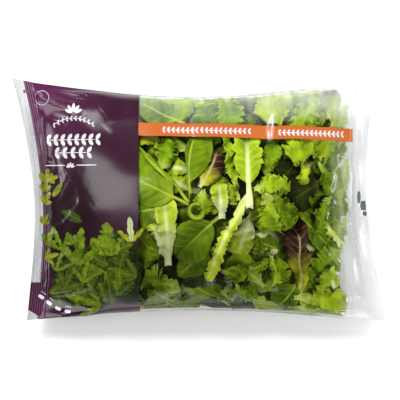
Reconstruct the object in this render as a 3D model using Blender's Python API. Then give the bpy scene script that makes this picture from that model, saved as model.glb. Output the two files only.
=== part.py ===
"""A sealed pillow bag of salad leaves, lying flat with its printed side up.

The bag is one tube of thin film, closed by a crimped seal across each end and by a seam along its back.
Leaves fill it, so it is modelled as one closed solid: two films lying flat on each other, then swelled
to the outline and the height that a full bag takes. X runs along the bag, Y across it, and the bag
rests on the plane z = 0.
"""

import math

import bmesh
import bpy

# Driving dimensions, in metres.
CORNER_HALF_LENGTH = 0.1685  # from the middle to a corner, along the bag
CORNER_HALF_WIDTH = 0.1130  # from the middle to a corner, across the bag
END_BOW = 0.0140  # how far the middle of an end seal is drawn in
SIDE_BOW = 0.0140  # how far the middle of a long fold is drawn in
SKEW = -0.052  # the ends lean this much for each metre across
SEAL_WIDTH = 0.0150
FOLD_HEIGHT = 0.0320  # the long folds and the seals above the table
FRONT_RISE = 0.0430  # the printed side above the folds
BACK_DROP = 0.0370  # the back below the folds, before the table flattens it
FILM_PAIR = 0.0012  # two films together, at the folds and the seals
CRIMP_DEPTH = 0.0003
SEAM_HALF_WIDTH = 0.0060
SEAM_THICKNESS = 0.0008
SEAM_STEP = 0.0012  # the seam's edge drops to the film over this width
LUMP_HEIGHT = 0.0021  # how far single leaves push the film out
PUCKER_HEIGHT = 0.0016  # the gathers where the film leaves a seal
PUCKER_REACH = 0.0200  # they fade over about this distance

# How the outline and the swell change along and across the bag.
END_BOW_POWER = 1.6
SIDE_BOW_POWER = 2.0
PULL_IN_POWER = 3.0  # the bow of a seal dies out quickly towards the middle
SWELL_LENGTH_POWER = 2.6
SWELL_END_POWER = 0.8

# Corners as (end, side, lift, reach): the loose film there curls up or hangs down.
CORNER_CURLS = (
    (-1, +1, 0.0090, 0.30),
    (+1, +1, 0.0060, 0.34),
    (-1, -1, -0.0070, 0.30),
    (+1, -1, -0.0040, 0.32),
)

# Swells as (waves along, waves across, phase, share), which add up to the lumps of the leaves.
LUMPS = (
    (5.5, 2.7, 0.4, 0.38),
    (9.0, 3.4, 2.2, 0.30),
    (7.1, 5.3, 4.4, 0.22),
    (12.8, 6.2, 1.3, 0.16),
    (16.2, 8.3, 5.5, 0.10),
)
PUCKERS = ((11.0, 0.3, 0.6), (17.0, 1.9, 0.4))  # waves across, phase, share

SEAL_COLUMNS = 5
PILLOW_COLUMNS = 52
ROWS_EACH_SIDE = 16  # from the middle line out to a fold

SEAL_START = 1 - SEAL_WIDTH / CORNER_HALF_LENGTH  # as a share of the half length


def column_positions():
    """Each line across the bag as a share of the half length, closer together near the seals."""
    step = (1 - SEAL_START) / SEAL_COLUMNS
    seal = [SEAL_START + step * (i + 1) for i in range(SEAL_COLUMNS)]
    pillow = []
    for i in range(PILLOW_COLUMNS + 1):
        even = 2 * i / PILLOW_COLUMNS - 1
        crowded = math.sin(even * math.pi / 2)
        pillow.append(SEAL_START * (0.55 * even + 0.45 * crowded))
    return [-c for c in reversed(seal)] + pillow + seal


def row_positions():
    """Each line along the bag as a share of the half girth, with both edges of the back seam."""
    waist = CORNER_HALF_WIDTH - SIDE_BOW
    seam, foot = (2 / math.pi * math.asin(y / waist) for y in (SEAM_HALF_WIDTH, SEAM_HALF_WIDTH + SEAM_STEP))
    steps = ROWS_EACH_SIDE - 2
    half = [seam] + [foot + (1 - foot) * i / steps for i in range(steps + 1)]
    return [-r for r in reversed(half)] + [0.0] + half


def half_width(along):
    return CORNER_HALF_WIDTH - SIDE_BOW * (1 - abs(along) ** SIDE_BOW_POWER)


def corner_curl(along, share):
    lift = 0.0
    for end, side, height, reach in CORNER_CURLS:
        away = math.hypot(along - end, 0.75 * (share - side)) / reach
        lift += height * max(0.0, 1 - away) ** 2
    return lift


def lumps(along, share, side):
    total = 0.0
    for waves_along, waves_across, phase, size in LUMPS:
        ripple = math.sin(waves_along * along + phase + side)
        total += size * ripple * math.cos(waves_across * share - phase * side)
    return LUMP_HEIGHT * total


def puckers(along, share, side):
    from_seal = (SEAL_START - abs(along)) * CORNER_HALF_LENGTH
    if from_seal <= 0:
        return 0.0
    fade = from_seal / PUCKER_REACH * math.exp(1 - from_seal / PUCKER_REACH)
    end = math.copysign(1, along)
    wave = sum(size * math.sin(waves * share + phase + end + 2 * side) for waves, phase, size in PUCKERS)
    return PUCKER_HEIGHT * wave * fade * (1 - share**4)


def film_point(along, around, side):
    """A point of the film. along and around run from -1 to 1, and side is 1 on the front, -1 on the back."""
    share = math.sin(around * math.pi / 2)
    inward = min(1.0, abs(along) / SEAL_START)
    swell = (1 - inward**SWELL_LENGTH_POWER) ** SWELL_END_POWER
    crown = max(0.0, math.cos(around * math.pi / 2)) ** (1.0 + 0.25 * inward)

    y = half_width(along) * share
    pull = END_BOW * (1 - abs(share) ** END_BOW_POWER) * abs(along) ** PULL_IN_POWER
    x = CORNER_HALF_LENGTH * along - math.copysign(pull, along) + SKEW * y

    rise = (FRONT_RISE if side > 0 else BACK_DROP) * swell * crown
    rise += swell * crown * lumps(along, share, side) + puckers(along, share, side)
    if side < 0 and abs(share) * half_width(0) < SEAM_HALF_WIDTH + 1e-5 and inward < 1:
        rise += SEAM_THICKNESS
    z = FOLD_HEIGHT + corner_curl(along, share) + side * (FILM_PAIR / 2 + max(0.0, rise))
    if abs(along) > SEAL_START + 1e-6:
        ridge = round((abs(along) - SEAL_START) / (1 - SEAL_START) * SEAL_COLUMNS)
        z += CRIMP_DEPTH * (-1) ** ridge
    return x, y, max(0.0, z)


def flat_films(columns, rows):
    """Both films lying on each other, as one thin slab with a vertex for each column and row."""
    mesh = bmesh.new()
    bmesh.ops.create_cube(mesh, size=2.0)
    for axis, lines in enumerate((columns, rows)):
        edges = [e for e in mesh.edges if abs(e.verts[0].co[axis] - e.verts[1].co[axis]) > 1e-6]
        bmesh.ops.subdivide_edges(mesh, edges=edges, cuts=len(lines) - 2, use_grid_fill=True)
    return mesh


def swell_films(mesh, columns, rows):
    """Moves each point of the flat films to where the leaves push it."""
    for vertex in mesh.verts:
        column = round((vertex.co.x + 1) / 2 * (len(columns) - 1))
        row = round((vertex.co.y + 1) / 2 * (len(rows) - 1))
        vertex.co = film_point(columns[column], rows[row], 1 if vertex.co.z > 0 else -1)


def centre_over_origin(mesh):
    """Puts the origin under the middle of the bag's box."""
    xs = [v.co.x for v in mesh.verts]
    ys = [v.co.y for v in mesh.verts]
    shift = (-(min(xs) + max(xs)) / 2, -(min(ys) + max(ys)) / 2, 0)
    bmesh.ops.translate(mesh, vec=shift, verts=mesh.verts)


def film_material():
    material = bpy.data.materials.new("printed_film")
    material.use_nodes = True
    shader = material.node_tree.nodes["Principled BSDF"]
    shader.inputs["Base Color"].default_value = (0.16, 0.30, 0.04, 1)
    shader.inputs["Roughness"].default_value = 0.25
    shader.inputs["Metallic"].default_value = 0.0
    return material


def salad_bag():
    columns, rows = column_positions(), row_positions()
    shape = flat_films(columns, rows)
    swell_films(shape, columns, rows)
    centre_over_origin(shape)
    bmesh.ops.recalc_face_normals(shape, faces=shape.faces)
    mesh = bpy.data.meshes.new("salad_bag")
    shape.to_mesh(mesh)
    shape.free()
    mesh.shade_smooth()
    mesh.materials.append(film_material())
    return bpy.data.objects.new("salad_bag", mesh)


def main():
    for thing in list(bpy.data.objects):
        bpy.data.objects.remove(thing)
    parts = bpy.data.collections.new("bag_of_salad_leaves")
    bpy.context.scene.collection.children.link(parts)
    parts.objects.link(salad_bag())


main()
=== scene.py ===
import math

import bpy
import numpy as np
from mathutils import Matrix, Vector


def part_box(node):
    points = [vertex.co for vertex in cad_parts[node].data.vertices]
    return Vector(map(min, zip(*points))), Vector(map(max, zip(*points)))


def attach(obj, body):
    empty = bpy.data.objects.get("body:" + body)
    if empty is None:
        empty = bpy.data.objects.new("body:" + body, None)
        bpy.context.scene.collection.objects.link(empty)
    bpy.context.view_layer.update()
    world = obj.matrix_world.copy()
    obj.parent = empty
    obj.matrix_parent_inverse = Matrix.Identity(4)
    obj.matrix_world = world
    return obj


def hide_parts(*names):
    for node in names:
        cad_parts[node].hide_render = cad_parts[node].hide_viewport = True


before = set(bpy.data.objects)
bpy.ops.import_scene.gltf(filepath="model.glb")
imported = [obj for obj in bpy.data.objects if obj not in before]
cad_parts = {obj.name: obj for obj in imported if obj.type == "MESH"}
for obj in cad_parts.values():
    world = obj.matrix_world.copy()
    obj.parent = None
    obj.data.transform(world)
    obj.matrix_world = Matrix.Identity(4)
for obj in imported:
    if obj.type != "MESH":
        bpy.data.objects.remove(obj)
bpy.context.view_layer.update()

mm = 0.001
bagLow, bagHigh = (np.array(corner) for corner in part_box("salad_bag"))
bagHeight = bagHigh[2] - bagLow[2]
bpy.ops.object.select_all(action="DESELECT")


# the bag: a pillow of clear film, X along it, Y across it

bag = {
    "lean": -0.052,  # the ends lean this much for each metre across
    "sealWidth": 15 * mm,
    "endBow": 14 * mm,  # how far the middle of a seal is drawn in
    "upperBow": 16.5 * mm,  # how far the middle of the upper fold is drawn in
    "lowerBow": 10 * mm,
    "foldHeight": 0.417 * bagHeight,
    "frontRise": 0.561 * bagHeight,
    "backDrop": 0.482 * bagHeight,
    "seamHalfWidth": 6 * mm,
    "cornerCurls": ((-1, 1, 9 * mm, 0.30), (1, 1, 6 * mm, 0.34), (-1, -1, -7 * mm, 0.30), (1, -1, -4 * mm, 0.32)),
}
halfWidth = (bagHigh[1] - bagLow[1]) / 2
halfLength = (bagHigh[0] - bagLow[0]) / 2 - abs(bag["lean"]) * halfWidth
sealStart = 1 - bag["sealWidth"] / halfLength

cloth = {
    "pillowColumns": 90,
    "sealColumns": 4,
    "rows": 71,
    "frames": 26,
    "slackLength": 1.022,  # the flat film's length and width, next to the full bag's
    "slackWidth": 1.036,
    "pressure": 42,
    "bending": 0.12,
}
flatHalfLength = halfLength * cloth["slackLength"]
flatHalfWidth = halfWidth * cloth["slackWidth"]


def bagPoint(along, around, side):
    # along and around run from -1 to 1; side is 1 on the front, -1 on the back, 0 in a seal
    share = np.sin(around * np.pi / 2)
    inward = np.minimum(1, abs(along) / sealStart)
    swell = (1 - inward**2.6) ** 0.8
    crown = np.clip(np.cos(around * np.pi / 2), 0, None) ** (1 + 0.25 * inward)
    sideBow = np.where(share > 0, bag["upperBow"], bag["lowerBow"])
    y = (halfWidth - sideBow * (1 - along**2)) * share
    pull = bag["endBow"] * (1 - abs(share) ** 1.6) * abs(along) ** 3
    x = halfLength * along - np.sign(along) * pull + bag["lean"] * y
    curl = 0
    for end, edge, lift, reach in bag["cornerCurls"]:
        away = np.hypot(along - end, 0.75 * (share - edge)) / reach
        curl = curl + lift * np.clip(1 - away, 0, None) ** 2
    rise = np.where(side > 0, bag["frontRise"], bag["backDrop"]) * swell * crown
    z = bag["foldHeight"] + curl + side * rise
    return np.stack([x, y, np.maximum(0, z)], axis=-1)


def aroundTable(side, count=2001):
    # where equal steps over the film at the bag's middle fall
    around = np.linspace(-1, 1, count)
    path = bagPoint(np.zeros(count), around, side)
    steps = np.linalg.norm(np.diff(path, axis=0), axis=1)
    length = np.concatenate([[0], np.cumsum(steps)])
    return 2 * length / length[-1] - 1, around


tables = {side: aroundTable(side) for side in (1, -1)}


def evenAround(row, side):
    front = np.interp(row, *tables[1])
    back = np.interp(row, *tables[-1])
    return np.where(side > 0, front, np.where(side < 0, back, (front + back) / 2))


def columnLines(pillowCount, sealCount):
    seal = np.linspace(sealStart, 1, sealCount + 1)[1:]
    return np.concatenate([-seal[::-1], np.linspace(-sealStart, sealStart, pillowCount + 1), seal])


def addFilmSheets(name, columns, rows, sealIsDouble):
    # two grids on each other, joined round the border; x and y count columns and rows, z tells the side
    lastColumn, lastRow = len(columns) - 1, len(rows) - 1
    sheets = []
    for side in (1, -1):
        first = 0 if side > 0 or sealIsDouble else int(np.argmin(abs(columns + sealStart)))
        count = lastColumn - 2 * first
        bpy.ops.mesh.primitive_grid_add(x_subdivisions=count, y_subdivisions=lastRow, size=2)
        sheet = bpy.context.object
        if side < 0:
            bpy.ops.object.mode_set(mode="EDIT")
            bpy.ops.mesh.select_all(action="SELECT")
            bpy.ops.mesh.flip_normals()
            bpy.ops.object.mode_set(mode="OBJECT")
        points = readPoints(sheet)
        column = first + np.rint((points[:, 0] + 1) / 2 * count)
        row = np.rint((points[:, 1] + 1) / 2 * lastRow)
        ends = (0, lastColumn) if sealIsDouble else (np.argmin(abs(columns + sealStart)), np.argmin(abs(columns - sealStart)))
        shared = (column <= ends[0]) | (column >= ends[1]) | (row == 0) | (row == lastRow)
        writePoints(sheet, np.stack([column, row, np.where(shared, 0, side)], axis=-1))
        sheets.append(sheet)
    bpy.ops.object.select_all(action="DESELECT")
    for sheet in sheets:
        sheet.select_set(True)
    bpy.context.view_layer.objects.active = sheets[0]
    bpy.ops.object.join()
    bpy.ops.object.mode_set(mode="EDIT")
    bpy.ops.mesh.select_all(action="SELECT")
    bpy.ops.mesh.remove_doubles(threshold=0.1)
    bpy.ops.object.mode_set(mode="OBJECT")
    sheets[0].name = name
    return sheets[0]


def readPoints(piece):
    flat = np.empty(len(piece.data.vertices) * 3)
    piece.data.vertices.foreach_get("co", flat)
    return flat.reshape(-1, 3)


def writePoints(piece, points):
    piece.data.vertices.foreach_set("co", np.ascontiguousarray(points, dtype=float).ravel())
    piece.data.update()


def blowUpFilm():
    # the flat tube of film is filled until it is as tight as the leaves make it; the outline stays where it is
    columns = columnLines(cloth["pillowColumns"], cloth["sealColumns"])
    rows = np.linspace(-1, 1, cloth["rows"])
    piece = addFilmSheets("clothFilm", columns, rows, sealIsDouble=False)
    grid = readPoints(piece)
    column, row, side = grid[:, 0].astype(int), grid[:, 1].astype(int), grid[:, 2]
    along, across = columns[column], rows[row]
    start = bagPoint(along, evenAround(across, side), side)
    start[:, 2] += np.where(side == 0, 0, side * 0.5 * mm)
    start[:, 2] = np.maximum(start[:, 2], 0.2 * mm)
    writePoints(piece, start)
    piece.shape_key_add(name="full")
    flat = piece.shape_key_add(name="flat")
    cut = np.stack([along * flatHalfLength, across * flatHalfWidth, side * 0.4 * mm], axis=-1)
    flat.data.foreach_set("co", cut.ravel())
    blown = piece.vertex_groups.new(name="blown")
    blown.add(np.flatnonzero(abs(along) <= sealStart + 1e-6).tolist(), 1.0, "REPLACE")
    held = piece.vertex_groups.new(name="held")
    rim = (abs(along) > 1 - 1e-6) | (abs(across) > 1 - 1e-6)
    resting = (side < 0) & (start[:, 2] < 0.3 * mm)
    held.add(np.flatnonzero(rim).tolist(), 1.0, "REPLACE")
    held.add(np.flatnonzero(resting).tolist(), 0.9, "REPLACE")
    bpy.ops.mesh.primitive_plane_add(size=2)
    table = bpy.context.object
    bpy.ops.object.modifier_add(type="COLLISION")
    table.collision.thickness_outer = 1 * mm
    bpy.ops.object.select_all(action="DESELECT")
    piece.select_set(True)
    bpy.context.view_layer.objects.active = piece
    bpy.ops.object.modifier_add(type="CLOTH")
    modifier = piece.modifiers[-1]
    settings = modifier.settings
    settings.quality = 5
    settings.mass = 0.0004
    settings.air_damping = 3
    settings.tension_stiffness, settings.compression_stiffness = 60, 40
    settings.shear_stiffness, settings.bending_stiffness = 25, cloth["bending"]
    settings.tension_damping = settings.compression_damping = settings.shear_damping = 10
    settings.use_pressure = True
    settings.uniform_pressure_force = 0
    settings.pressure_factor = cloth["pressure"]
    settings.vertex_group_pressure = "blown"
    settings.vertex_group_mass = "held"
    settings.rest_shape_key = flat
    settings.effector_weights.gravity = 1
    modifier.collision_settings.distance_min = 1 * mm
    modifier.collision_settings.use_self_collision = False
    modifier.point_cache.frame_start = 1
    modifier.point_cache.frame_end = cloth["frames"]
    for step in range(1, cloth["frames"] + 1):
        bpy.context.scene.frame_set(step)
    graph = bpy.context.evaluated_depsgraph_get()
    blownUp = piece.evaluated_get(graph).to_mesh()
    flatList = np.empty(len(blownUp.vertices) * 3)
    blownUp.vertices.foreach_get("co", flatList)
    points = flatList.reshape(-1, 3)
    bpy.data.objects.remove(table)
    films = {}
    for face in (1, -1):
        sheet = np.zeros((len(columns), len(rows), 3))
        here = (side == face) | (side == 0)
        sheet[column[here], row[here]] = points[here]
        films[face] = sheet
    bpy.data.objects.remove(piece)
    return films, columns, rows


def cubicWeights(places, count):
    # each row blends the four source lines round a place, so a finer grid stays smooth
    weights = np.zeros((len(places), count))
    for line, place in enumerate(places):
        base = int(min(max(math.floor(place), 0), count - 2))
        f = place - base
        four = (
            (-f + 2 * f * f - f**3) / 2,
            (2 - 5 * f * f + 3 * f**3) / 2,
            (f + 4 * f * f - 3 * f**3) / 2,
            (-f * f + f**3) / 2,
        )
        for step, weight in zip((-1, 0, 1, 2), four):
            weights[line, min(max(base + step, 0), count - 1)] += weight
    return weights


fineFilm = {"pillowColumns": 200, "sealColumns": 16, "rows": 137}
fineColumns = columnLines(fineFilm["pillowColumns"], fineFilm["sealColumns"])
fineRows = np.linspace(-1, 1, fineFilm["rows"])


def refineFilms(films, columns, rows):
    columnPlaces = np.interp(fineColumns, columns, np.arange(len(columns)))
    rowPlaces = np.interp(fineRows, rows, np.arange(len(rows)))
    byColumn = cubicWeights(columnPlaces, len(columns))
    byRow = cubicWeights(rowPlaces, len(rows))
    return {face: np.einsum("ia,abk,jb->ijk", byColumn, sheet, byRow) for face, sheet in films.items()}


def outwardNormals(sheet, face):
    alongStep = np.gradient(sheet, axis=0)
    acrossStep = np.gradient(sheet, axis=1)
    normals = np.cross(alongStep, acrossStep) * face
    return normals / np.maximum(np.linalg.norm(normals, axis=2, keepdims=True), 1e-12)


print("film: simulating")
films = refineFilms(*blowUpFilm())
normals = {face: outwardNormals(films[face], face) for face in (1, -1)}
for face in (1, -1):
    low, high = films[face].reshape(-1, 3).min(0), films[face].reshape(-1, 3).max(0)
    print("film side", face, np.round(low * 1000, 1), np.round(high * 1000, 1))


# places on the film: a and b are metres along and across the film laid flat

fineA = fineColumns * flatHalfLength
fineB = fineRows * flatHalfWidth


def sample(field, a, b):
    # bilinear look-up of a field on the fine grid
    i = np.clip(np.interp(a, fineA, np.arange(len(fineA))), 0, len(fineA) - 1.001)
    j = np.clip(np.interp(b, fineB, np.arange(len(fineB))), 0, len(fineB) - 1.001)
    i0, j0 = i.astype(int), j.astype(int)
    fi, fj = i - i0, j - j0
    if field.ndim == 3:
        fi, fj = fi[..., None], fj[..., None]
    near = field[i0, j0] * (1 - fj) + field[i0, j0 + 1] * fj
    far = field[i0 + 1, j0] * (1 - fj) + field[i0 + 1, j0 + 1] * fj
    return near * (1 - fi) + far * fi


def placeOnFront(x, y):
    # the film place whose point lies at x, y when the bag is seen from above
    sheet = films[1]
    x, y = np.broadcast_arrays(np.asarray(x, float), np.asarray(y, float))
    a, b = np.empty(x.shape), np.empty(x.shape)
    alongStep, acrossStep = np.gradient(sheet, axis=0), np.gradient(sheet, axis=1)
    stepA, stepB = np.gradient(fineA), np.gradient(fineB)
    for k in np.ndindex(x.shape):
        away = (sheet[..., 0] - x[k]) ** 2 + (sheet[..., 1] - y[k]) ** 2
        i, j = np.unravel_index(np.argmin(away), away.shape)
        dx, dy = x[k] - sheet[i, j, 0], y[k] - sheet[i, j, 1]
        matrix = np.array([[alongStep[i, j, 0], acrossStep[i, j, 0]], [alongStep[i, j, 1], acrossStep[i, j, 1]]])
        if abs(np.linalg.det(matrix)) < 1e-9:
            di, dj = 0.0, 0.0
        else:
            di, dj = np.clip(np.linalg.solve(matrix, [dx, dy]), -1, 1)
        a[k] = fineA[i] + di * stepA[i]
        b[k] = fineB[j] + dj * stepB[j]
    return a, b


localThickness = np.maximum(films[1][..., 2] - films[-1][..., 2], 0)


# the leaves

leafKinds = {
    # stem: share of the length without a blade; grow and close shape the outline; notch and teeth cut its edge;
    # the rest are heights of relief in millimetres, and "loose" is how little of the leaf is pressed flat
    "spinach": {
        "stem": 0.16, "grow": 0.6, "close": 0.5, "lobes": 0, "notch": 0.0, "teeth": 0.02,
        "ruffle": 1.6, "waves": 2.5, "crinkle": 0.7, "quilt": 0.9, "ribWidth": 1.1,
        "fold": 2.2, "foldLength": 38, "cup": 0.32, "sway": 1.5, "loose": 0.22,
    },
    "lettuce": {
        "stem": 0.03, "grow": 0.8, "close": 0.26, "lobes": 4, "notch": 0.24, "teeth": 0.12,
        "ruffle": 4.2, "waves": 5.5, "crinkle": 1.7, "quilt": 0.8, "ribWidth": 1.6,
        "fold": 4.0, "foldLength": 22, "cup": 0.30, "sway": 4.0, "loose": 0.14,
    },
    "frilly": {
        "stem": 0.03, "grow": 0.62, "close": 0.3, "lobes": 6, "notch": 0.42, "teeth": 0.16,
        "ruffle": 5.2, "waves": 8.5, "crinkle": 1.9, "quilt": 0.3, "ribWidth": 1.4,
        "fold": 4.2, "foldLength": 16, "cup": 0.25, "sway": 4.0, "loose": 0.12,
    },
    "curly": {
        "stem": 0.06, "grow": 0.5, "close": 0.32, "lobes": 7, "notch": 0.5, "teeth": 0.2,
        "ruffle": 4.4, "waves": 10.0, "crinkle": 1.7, "quilt": 0.4, "ribWidth": 1.1,
        "fold": 3.6, "foldLength": 14, "cup": 0.28, "sway": 3.2, "loose": 0.12,
    },
    "endive": {
        "stem": 0.04, "grow": 0.42, "close": 0.26, "lobes": 11, "notch": 0.55, "teeth": 0.30,
        "ruffle": 2.8, "waves": 8.5, "crinkle": 0.8, "quilt": 0.2, "ribWidth": 2.3,
        "fold": 2.0, "foldLength": 18, "cup": 0.25, "sway": 2.0, "loose": 0.25,
    },
    "ribbed": {
        "stem": 0.34, "grow": 0.55, "close": 0.28, "lobes": 4, "notch": 0.25, "teeth": 0.10,
        "ruffle": 3.0, "waves": 4.5, "crinkle": 1.0, "quilt": 0.5, "ribWidth": 2.5,
        "fold": 2.6, "foldLength": 24, "cup": 0.25, "sway": 1.2, "loose": 0.25,
    },
    "paleFoot": {
        "stem": 0.0, "grow": 0.9, "close": 0.3, "lobes": 4, "notch": 0.22, "teeth": 0.10,
        "ruffle": 3.0, "waves": 4.5, "crinkle": 1.2, "quilt": 0.3, "ribWidth": 2.4,
        "fold": 2.6, "foldLength": 20, "cup": 0.3, "sway": 2.0, "loose": 0.2,
    },
    "redLeaf": {
        "stem": 0.05, "grow": 0.7, "close": 0.36, "lobes": 4, "notch": 0.18, "teeth": 0.08,
        "ruffle": 3.0, "waves": 5.0, "crinkle": 1.5, "quilt": 1.5, "ribWidth": 1.3,
        "fold": 2.8, "foldLength": 22, "cup": 0.30, "sway": 2.0, "loose": 0.2,
    },
    "darkLeaf": {
        "stem": 0.1, "grow": 0.7, "close": 0.42, "lobes": 3, "notch": 0.14, "teeth": 0.06,
        "ruffle": 2.6, "waves": 4.0, "crinkle": 1.2, "quilt": 0.7, "ribWidth": 0.9,
        "fold": 3.0, "foldLength": 24, "cup": 0.30, "sway": 2.5, "loose": 0.2,
    },
}
veinSpacing = 7.5 * mm
veinSlant = 0.75  # how far a side rib runs forward for each metre outward

heap = {
    "cell": 1.25 * mm,
    "clearance": 0.9 * mm,  # between the film and the topmost leaves
    "thickness": 0.35 * mm,
    "deepest": 0.44,  # of the bag's local thickness
    "left": -82 * mm,
    "right": 136 * mm,
}
cellsA = int((heap["right"] - heap["left"] + 40 * mm) / heap["cell"])
cellsB = int(2 * flatHalfWidth / heap["cell"])
cellA0, cellB0 = heap["left"] - 20 * mm, -flatHalfWidth


def box(field, radius):
    # a running mean over a square
    for axis in (0, 1):
        padded = np.concatenate([np.repeat(np.take(field, [0], axis), radius, axis), field, np.repeat(np.take(field, [-1], axis), radius, axis)], axis)
        total = np.cumsum(np.insert(padded, 0, 0, axis), axis)
        count = field.shape[axis]
        field = (np.take(total, range(2 * radius + 1, 2 * radius + 1 + count), axis) - np.take(total, range(count), axis)) / (2 * radius + 1)
    return field


def widen(field, radius):
    # the highest value within a square
    for axis in (0, 1):
        found = field.copy()
        for step in range(1, radius + 1):
            moved = np.roll(field, step, axis)
            found = np.maximum(found, moved)
            found = np.maximum(found, np.roll(field, -step, axis))
        field = found
    return field


class Layers:
    # how deep the leaves laid so far reach under the film, on one side of the bag
    def __init__(self, face):
        self.face = face
        self.reach = np.zeros((cellsA, cellsB))  # the lowest leaf so far
        self.top = np.full((cellsA, cellsB), 30 * mm)  # the highest leaf
        self.smooth = self.reach

    def cells(self, a, b):
        i = np.clip(((a - cellA0) / heap["cell"]).astype(int), 0, cellsA - 1)
        j = np.clip(((b - cellB0) / heap["cell"]).astype(int), 0, cellsB - 1)
        return i, j

    def cover(self, a, b, depth):
        # the leaf's grid is sampled finely enough to touch every cell under it
        fine = lambda f: np.einsum("ia,ab,jb->ij", self.spread(f.shape[0]), f, self.spread(f.shape[1]))
        a, b, depth = fine(a), fine(b), fine(depth)
        i, j = self.cells(a, b)
        np.maximum.at(self.reach, (i, j), depth + heap["thickness"] + 0.2 * mm)
        np.minimum.at(self.top, (i, j), depth)
        self.smooth = box(box(widen(self.reach, 2), 2), 2)

    def spread(self, count):
        places = np.linspace(0, count - 1, 3 * count)
        weights = np.zeros((len(places), count))
        base = np.minimum(places.astype(int), count - 2)
        part = places - base
        weights[np.arange(len(places)), base] = 1 - part
        weights[np.arange(len(places)), base + 1] = part
        return weights


def waveNoise(rng, l, w, wavelength):
    # a few crossing waves, about -1 to 1
    total = np.zeros(np.broadcast(l, w).shape)
    for _ in range(6):
        angle = rng.uniform(0, 2 * np.pi)
        k = 2 * np.pi / (wavelength * rng.uniform(0.7, 1.6))
        total += np.sin(k * (l * np.cos(angle) + w * np.sin(angle)) + rng.uniform(0, 2 * np.pi))
    return total / 3


collected = {kind: [] for kind in leafKinds}


def unevenEdge(rng, q, lobes, notch, teeth):
    # one edge of a blade, next to its smooth outline: rounded lobes of uneven size, with small teeth on them
    outline = np.ones(q.shape)
    for count, depth, roundness in ((lobes, notch, 0.7), (int(1.5 * lobes) + 4, teeth, 0.7)):
        if count == 0 or depth == 0:
            continue
        cuts = np.cumsum(rng.uniform(0.45, 1.5, count + 1))
        cuts = (cuts - cuts[0]) / (cuts[-1] - cuts[0])
        lobe = np.clip(np.searchsorted(cuts, q, side="right") - 1, 0, count - 1)
        part = (q - cuts[lobe]) / (cuts[lobe + 1] - cuts[lobe])
        deep = depth * rng.uniform(0.35, 1.25, count)[lobe]
        outline = outline * (1 - deep * (1 - np.sin(np.pi * np.clip(part, 0, 1) ** 1.35) ** roundness))
    return outline


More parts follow.
